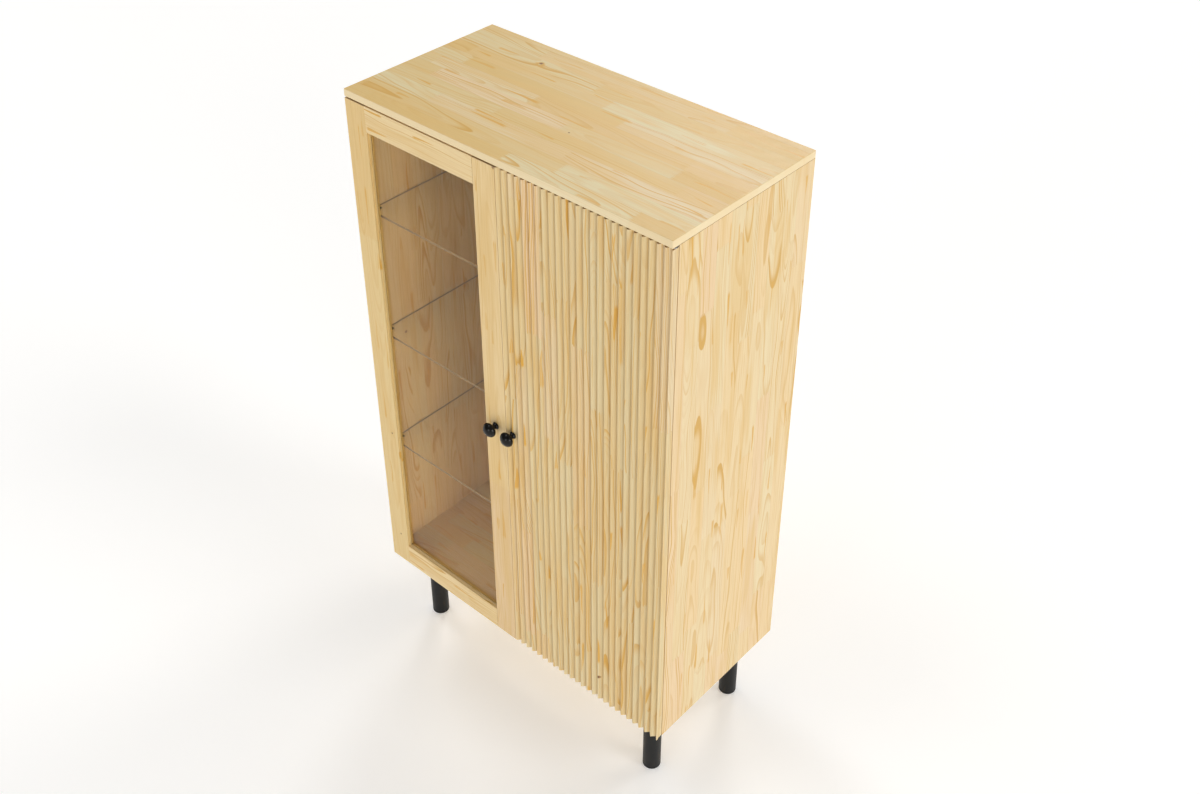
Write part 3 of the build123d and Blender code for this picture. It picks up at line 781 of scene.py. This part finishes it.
# Screws: one of each kind is modelled, then copied
def make_screw(name, rise, radius, flat):
    """A screw head with a cross recess, standing on the origin along Z."""
    if flat:
        rings = [(-0.6 * MM, radius * 0.8), (rise * 0.4, radius), (rise, radius * 0.93), (rise, 0.0)]
    else:
        rings = [(-0.3 * MM, radius), (rise * 0.45, radius), (rise * 0.8, radius * 0.86),
                 (rise, radius * 0.55), (rise * 1.05, 0.0)]
    head = turned(name, (0.0, 0.0, 0.0), (0.0, 0.0, 1.0), rings, sides=SCREW_SIDES)
    top = rise + CROSS_DEPTH
    floor = rise - CROSS_DEPTH
    for across, along in ((CROSS_WIDTH, CROSS_LENGTH), (CROSS_LENGTH, CROSS_WIDTH)):
        cutter = sawn("cutter", (-across / 2, -along / 2, floor), (across / 2, along / 2, top))
        finish_with(head, "BOOLEAN", operation="DIFFERENCE", object=cutter, solver="EXACT")
        bpy.data.objects.remove(cutter)
    return settle(head)


def screws_at(name, pattern, spots):
    """Copies of a screw, each at a point and facing a direction, joined in one piece."""
    copies = []
    for turn, (spot, direction) in enumerate(spots):
        copy = pattern.copy()
        copy.data = pattern.data.copy()
        bpy.context.scene.collection.objects.link(copy)
        copy.location = spot
        facing = Vector(direction).to_track_quat("Z", "Y")
        cross = Quaternion((0.0, 0.0, 1.0), FIRST_CROSS_TURN + NEXT_CROSS_TURN * turn)
        copy.rotation_euler = (facing @ cross).to_euler()
        only(copy)
        bpy.ops.object.transform_apply(location=True, rotation=True, scale=True)
        copies.append(copy)
    return joined(name, copies)


# Knobs and what sits behind them
def knob_rings():
    """From the seat: rimmed foot, flare to the neck, underside, round edge and full dome."""
    base = KNOB_BASE_RADIUS
    rings = [(0.0, base - 0.4 * MM), (0.4 * MM, base), (1.6 * MM, base), (2.0 * MM, base - 0.4 * MM)]
    flare, neck = 7.5 * MM, KNOB_NECK_RADIUS
    rings += [(2.0 * MM + flare * step / 8, neck + (base - 0.6 * MM - neck) * (1 - step / 8) ** 2)
              for step in range(1, 9)]
    flat = KNOB_RADIUS - KNOB_EDGE_ROUND
    lift = KNOB_RISE - KNOB_EDGE_HEIGHT
    dome = (lift ** 2 + flat ** 2 - KNOB_EDGE_ROUND ** 2) / (2 * (lift - KNOB_EDGE_ROUND))
    centre = KNOB_RISE - dome
    meet = math.degrees(math.atan2(KNOB_EDGE_HEIGHT - centre, flat))
    rings += arc_rings(KNOB_EDGE_HEIGHT, flat, KNOB_EDGE_ROUND, -62, meet, 12)
    rings += arc_rings(centre, 0.0, dome, meet, 88, 12)[1:]
    return rings + [(KNOB_RISE, 0.0)]


def make_door_fittings(door, screw, flat_screw, black, zinc):
    """A door's knob, the screw behind it and the two strike plates, from the CAD node's box."""
    node = f"{door}_fittings"
    low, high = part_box(node)
    points = [v.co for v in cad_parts[node].data.vertices]
    head = [p for p in points if p.y < low.y + KNOB_RISE / 2]
    x = (min(p.x for p in head) + max(p.x for p in head)) / 2
    z = (min(p.z for p in head) + max(p.z for p in head)) / 2
    seat = low.y + KNOB_RISE
    knob = turned(f"{door}_knob", (x, seat, z), (0.0, -1.0, 0.0), knob_rings())
    keep(knob, door, black, "black_steel", node)
    back = high.y - SET_SCREW_HEAD
    set_screw = screws_at(f"{door}_knob_screw", screw, [((x, back, z), (0.0, 1.0, 0.0))])
    keep(set_screw, door, zinc, "zinc_steel")
    plates = [p for p in points if abs(p.z - z) > STRIKE_PLATE_REACH]
    left, right = min(p.x for p in plates), max(p.x for p in plates)
    face = max(p.y for p in plates)
    under = min(p.y for p in plates)
    made, spots = [], []
    for part in ([p for p in plates if p.z < z], [p for p in plates if p.z > z]):
        bottom, top = min(p.z for p in part), max(p.z for p in part)
        plate = sawn("plate", (left, under, bottom), (right, face, top))
        made.append(settle(round_edges(plate, 0.35 * MM), FLAT))
        for height in (bottom + STRIKE_SCREW_INSET, top - STRIKE_SCREW_INSET):
            spots.append((((left + right) / 2, face, height), (0.0, 1.0, 0.0)))
    keep(joined(f"{door}_strike_plates", made), door, zinc, "zinc_steel")
    keep(screws_at(f"{door}_strike_screws", flat_screw, spots), door, zinc, "zinc_steel")


# Legs: a tube with a weld bead under its plate, on a moulded glide
def leg_tube(middle, bottom, top):
    shaft = top - bottom
    rings = [(0.0, LEG_RADIUS - 0.8 * MM), (0.8 * MM, LEG_RADIUS), (shaft - WELD_BEAD, LEG_RADIUS)]
    for angle in (20, 45, 70, 90):
        lean = math.radians(angle)
        bead = WELD_BEAD * (1 - math.cos(lean)) + WELD_STEP
        rings.append((shaft - WELD_BEAD * math.cos(lean), LEG_RADIUS + bead))
    return turned("tube", (middle.x, middle.y, bottom), (0.0, 0.0, 1.0), rings, sides=LEG_SIDES)


def leg_plate(low, high):
    """A square plate with its four upright corner edges clipped."""
    plate = sawn("plate", low, high)
    only(plate)
    bpy.ops.object.mode_set(mode="EDIT")
    bpy.ops.mesh.select_mode(type="EDGE")
    bpy.ops.mesh.select_all(action="DESELECT")
    bpy.ops.object.mode_set(mode="OBJECT")
    for edge in plate.data.edges:
        ends = [plate.data.vertices[n].co for n in edge.vertices]
        edge.select = abs(ends[0].z - ends[1].z) > LEG_PLATE_THICK / 3
    bpy.ops.object.mode_set(mode="EDIT")
    bpy.ops.mesh.bevel(offset=LEG_PLATE_CORNER, offset_type="WIDTH", segments=1, affect="EDGES")
    bpy.ops.object.mode_set(mode="OBJECT")
    return settle(round_edges(plate, 0.4 * MM), FLAT)


def leg_glide(middle, top):
    rings = arc_rings(FOOT_ROUND, LEG_RADIUS - FOOT_ROUND, FOOT_ROUND, -90, 0, 6)
    rings += [(top - 0.5 * MM, LEG_RADIUS), (top, LEG_RADIUS - 0.5 * MM)]
    rings.append((top + SPIGOT_RISE, SPIGOT_RADIUS))
    return turned("glide", (middle.x, middle.y, 0.0), (0.0, 0.0, 1.0), rings, sides=LEG_SIDES)


def make_legs(screw, black, plastic, zinc):
    spots = []
    glides = []
    for row in ("front", "back"):
        for side in ("left", "right"):
            node = f"leg_{row}_{side}"
            low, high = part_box(node)
            middle = (low + high) / 2
            tube_top = high.z - LEG_PLATE_THICK
            tube = leg_tube(middle, low.z, tube_top)
            plate = leg_plate((low.x, low.y, tube_top), (high.x, high.y, high.z))
            keep(joined(f"{node}_welded", [tube, plate]), "case", black, "black_steel", node)
            for dx in (-1, 1):
                for dy in (-1, 1):
                    spot = (middle.x + dx * PLATE_SCREW_REACH, middle.y + dy * PLATE_SCREW_REACH, tube_top)
                    spots.append((spot, (0.0, 0.0, -1.0)))
            glides.append(leg_glide(middle, low.z))
    keep(joined("leg_glides_moulded", glides), "case", plastic, "black_plastic", "leg_glides")
    keep(screws_at("leg_plate_screws", screw, spots), "case", zinc, "zinc_steel")


# Hinges: brackets with their screws, pins and bushes
def make_hinges(flat_screw, zinc, shade_darkened_zinc, nylon):
    spots = []
    for side, hand in (("left", -1), ("right", 1)):
        for end in ("lower", "upper"):
            node = f"{side}_{end}_pivot_bracket"
            bracket = cast_from(node, f"{node}_plate", 0.25 * MM)
            keep(bracket, "case", shade_darkened_zinc, "zinc_steel", node)
        low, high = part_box(f"{side}_lower_pivot_bracket")
        for inset in BRACKET_SCREW_INSETS:
            spot = (hand * BRACKET_SCREW_X, high.y - inset, low.z)
            spots.append((spot, (0.0, 0.0, -1.0)))
    keep(screws_at("lower_bracket_screws", flat_screw, spots), "case", zinc, "zinc_steel")
    keep(cast_from("pivot_pins", "pivot_pins_ground", 0.3 * MM), "case", zinc, "zinc_steel", "pivot_pins")
    for door in ("glass_door", "ribbed_door"):
        bushes = cast_from(f"{door}_bushes", f"{door}_bushes_moulded", 0.15 * MM)
        keep(bushes, door, nylon, "white_nylon", f"{door}_bushes")


# Shelf clips with a screw in each upright leg, and the doors' magnets
def make_clips(small_screw, zinc):
    for kind in ("glass", "wood"):
        node = f"{kind}_shelf_clips"
        clips = cast_from(node, f"{kind}_shelf_clips_folded", 0.35 * MM)
        keep(clips, "case", zinc, "zinc_steel", node)
        low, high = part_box(node)
        spots = []
        for level in ("lower", "middle", "upper"):
            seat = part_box(f"{kind}_shelf_{level}")[0].z
            for y in (low.y + CLIP_WIDTH / 2, high.y - CLIP_WIDTH / 2):
                spots.append(((low.x + CLIP_THICK, y, seat - CLIP_SCREW_DROP), (1.0, 0.0, 0.0)))
                spots.append(((high.x - CLIP_THICK, y, seat - CLIP_SCREW_DROP), (-1.0, 0.0, 0.0)))
        keep(screws_at(f"{kind}_shelf_clip_screws", small_screw, spots), "case", zinc, "zinc_steel")


def make_magnets(nickel):
    magnets = cast_from("door_magnets", "door_magnets_plated", 0.4 * MM, FLAT)
    keep(magnets, "case", nickel, "nickel", "door_magnets")


# Glass: arrissed edges, ground at the front and darkened with painted shade where they face the walls
def make_glass():
    pane = glass("bronze_glass", (0.875, 0.785, 0.59, 1.0), (0.95, 0.91, 0.84, 1.0), 0.01, 1.26)
    clear = glass("clear_glass", (0.97, 0.975, 0.97, 1.0), (0.97, 0.98, 0.97, 1.0), 0.01, 1.25)
    ground = coated("ground_glass_edge", (0.30, 0.215, 0.15, 1.0), (0.36, 0.26, 0.18, 1.0), 0.5)
    shaded = coated("shaded_glass_edge", (0.34, 0.24, 0.13, 1.0), (0.42, 0.30, 0.17, 1.0), 0.5)
    node = "glass_door_pane"
    arrissed = cast_from(node, "glass_door_pane_arrissed", 0.4 * MM, FLAT)
    keep(arrissed, "glass_door", pane, "tinted_glass", node)
    for level in ("lower", "middle", "upper"):
        node = f"glass_shelf_{level}"
        shelf = cast_from(node, f"{node}_polished", 0.5 * MM, FLAT)
        keep(shelf, "case", clear, "clear_glass", node)
        shelf.data.materials.append(ground)
        shelf.data.materials.append(shaded)
        for face in shelf.data.polygons:
            if abs(face.normal.y) > 0.3:
                face.material_index = 1
            elif abs(face.normal.x) > 0.3:
                face.material_index = 2


def make_hardware():
    black = coated("black_powder_coat", (0.006, 0.006, 0.006, 1.0), (0.011, 0.0105, 0.010, 1.0), 0.46)
    gloss = coated("black_gloss_lacquer", (0.004, 0.0038, 0.0035, 1.0), (0.008, 0.0072, 0.0065, 1.0), 0.22)
    zinc = coated("zinc_plate", (0.52, 0.52, 0.50, 1.0), (0.66, 0.66, 0.63, 1.0), 0.34, metal=1.0)
    # The pivot brackets' zinc is much darker than plated zinc: painted shade for the narrow gaps they sit
    # in at the doors' ends
    shade_darkened_zinc = coated("zinc_plate_darkened_for_shade", (0.13, 0.12, 0.11, 1.0), (0.20, 0.19, 0.17, 1.0), 0.55, metal=1.0)
    nickel = coated("nickel_plate", (0.60, 0.57, 0.52, 1.0), (0.70, 0.67, 0.61, 1.0), 0.24, metal=1.0)
    nylon = coated("white_nylon", (0.80, 0.79, 0.75, 1.0), (0.86, 0.85, 0.81, 1.0), 0.50)
    plastic = coated("black_plastic", (0.012, 0.012, 0.012, 1.0), (0.022, 0.021, 0.020, 1.0), 0.60)
    for coat in (black, gloss, plastic):
        coat.node_tree.nodes["Principled BSDF"].inputs["Specular IOR Level"].default_value = 0.25
    screw = make_screw("pan_screw", SCREW_HEAD_RISE, SCREW_HEAD_RADIUS, False)
    flat_screw = make_screw("flat_screw", FLAT_HEAD_RISE, SCREW_HEAD_RADIUS * 0.85, True)
    small_screw = make_screw("small_screw", SCREW_HEAD_RISE * 0.6, SCREW_HEAD_RADIUS * 0.75, False)
    for door in ("glass_door", "ribbed_door"):
        make_door_fittings(door, screw, flat_screw, gloss, zinc)
    make_legs(screw, black, plastic, zinc)
    make_hinges(flat_screw, zinc, shade_darkened_zinc, nylon)
    make_clips(small_screw, zinc)
    make_magnets(nickel)
    for pattern in (screw, flat_screw, small_screw):
        bpy.data.objects.remove(pattern)


place_camera()
light_studio()
lay_floor()
dress_boards()
make_glass()
make_hardware()
